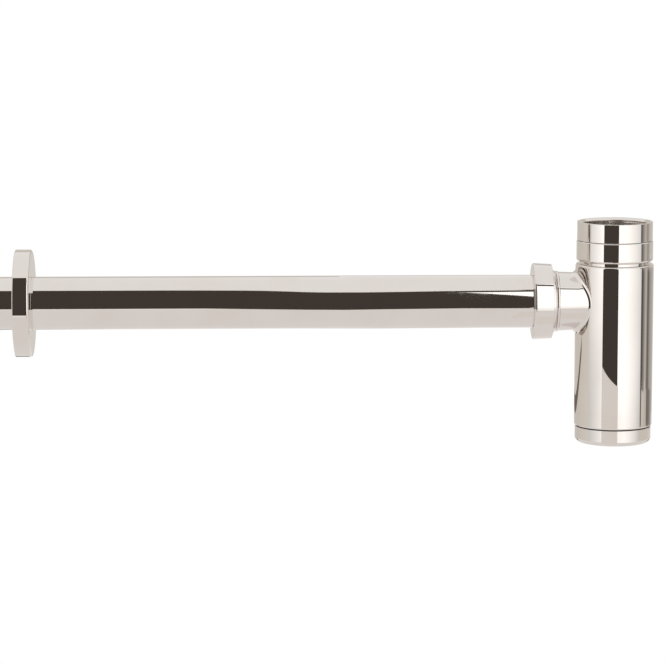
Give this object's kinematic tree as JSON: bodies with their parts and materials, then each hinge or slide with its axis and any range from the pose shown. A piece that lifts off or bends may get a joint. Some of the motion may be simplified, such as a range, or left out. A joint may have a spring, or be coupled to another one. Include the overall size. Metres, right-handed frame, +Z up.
{
  "type": "bottle trap",
  "caption": "Chromed bottle trap: upright round bottle with screw cap, threaded inlet nut, side boss with compression nut, long straight outlet pipe and deep wall flange.",
  "frame": {"origin": "middle of the inlet's sealing face, the top of the inlet washer, on the bottle's axis", "axes": "+Z up along the bottle's axis, out of the inlet; the outlet pipe runs along -X; +Y completes the frame, and the picture looks along about +Y"},
  "size_m": [0.4475, 0.0648, 0.1341],
  "materials": {
    "chrome": "polished chrome plate on brass",
    "rubber": "matte black rubber",
    "nylon": "natural nylon"
  },
  "bodies": {
    "trap_body": {"trap_body": "chrome", "neck_seal": "rubber", "outlet_seal": "rubber"},
    "cap_washer": {"cap_washer": "rubber"},
    "bottom_cap": {"bottom_cap": "chrome"},
    "neck_slip_ring": {"neck_slip_ring": "nylon"},
    "ring_nut": {"ring_nut": "chrome"},
    "inlet_tube": {"inlet_tube": "chrome", "inlet_washer": "rubber"},
    "inlet_nut": {"inlet_nut": "chrome"},
    "outlet_slip_ring": {"outlet_slip_ring": "nylon"},
    "outlet_nut": {"outlet_nut": "chrome"},
    "outlet_pipe": {"outlet_pipe": "chrome"},
    "wall_flange": {"wall_flange": "chrome", "flange_grip_ring": "rubber"}
  },
  "joints": [
    {"name": "cap_lower", "type": "slide", "parent": "trap_body", "child": "cap_washer", "axis": [0, 0, -1], "range_m": [0, 0.0053]},
    {"name": "cap_turn", "type": "hinge", "parent": "cap_washer", "child": "bottom_cap", "pos_m": [0, 0, -0.124], "axis": [0, 0, -1], "range_deg": [0, 1260]},
    {"name": "ring_lift", "type": "slide", "parent": "trap_body", "child": "neck_slip_ring", "axis": [0, 0, 1], "range_m": [0, 0.0058]},
    {"name": "ring_turn", "type": "hinge", "parent": "neck_slip_ring", "child": "ring_nut", "pos_m": [0, 0, -0.012], "axis": [0, 0, 1], "range_deg": [0, 900]},
    {"name": "tube_slide", "type": "slide", "parent": "neck_slip_ring", "child": "inlet_tube", "axis": [0, 0, 1], "range_m": [0, 0.03]},
    {"name": "inlet_swivel", "type": "hinge", "parent": "inlet_tube", "child": "inlet_nut", "pos_m": [0, 0, 0], "axis": [0, 0, 1], "continuous": true},
    {"name": "outlet_back", "type": "slide", "parent": "trap_body", "child": "outlet_slip_ring", "axis": [-1, 0, 0], "range_m": [0, 0.0047]},
    {"name": "outlet_turn", "type": "hinge", "parent": "outlet_slip_ring", "child": "outlet_nut", "pos_m": [-0.044, 0, -0.04285], "axis": [-1, 0, 0], "range_deg": [0, 720]},
    {"name": "pipe_slide", "type": "slide", "parent": "trap_body", "child": "outlet_pipe", "axis": [-1, 0, 0], "range_m": [0, 0.015]},
    {"name": "flange_slide", "type": "slide", "parent": "outlet_pipe", "child": "wall_flange", "axis": [-1, 0, 0], "range_m": [-0.285, 0.06]}
  ],
  "couplings": [
    {"joint": "cap_lower", "follows": "cap_turn", "m_per_rad": 0.00023873},
    {"joint": "ring_lift", "follows": "ring_turn", "m_per_rad": 0.00036749},
    {"joint": "outlet_back", "follows": "outlet_turn", "m_per_rad": 0.00036749}
  ]
}
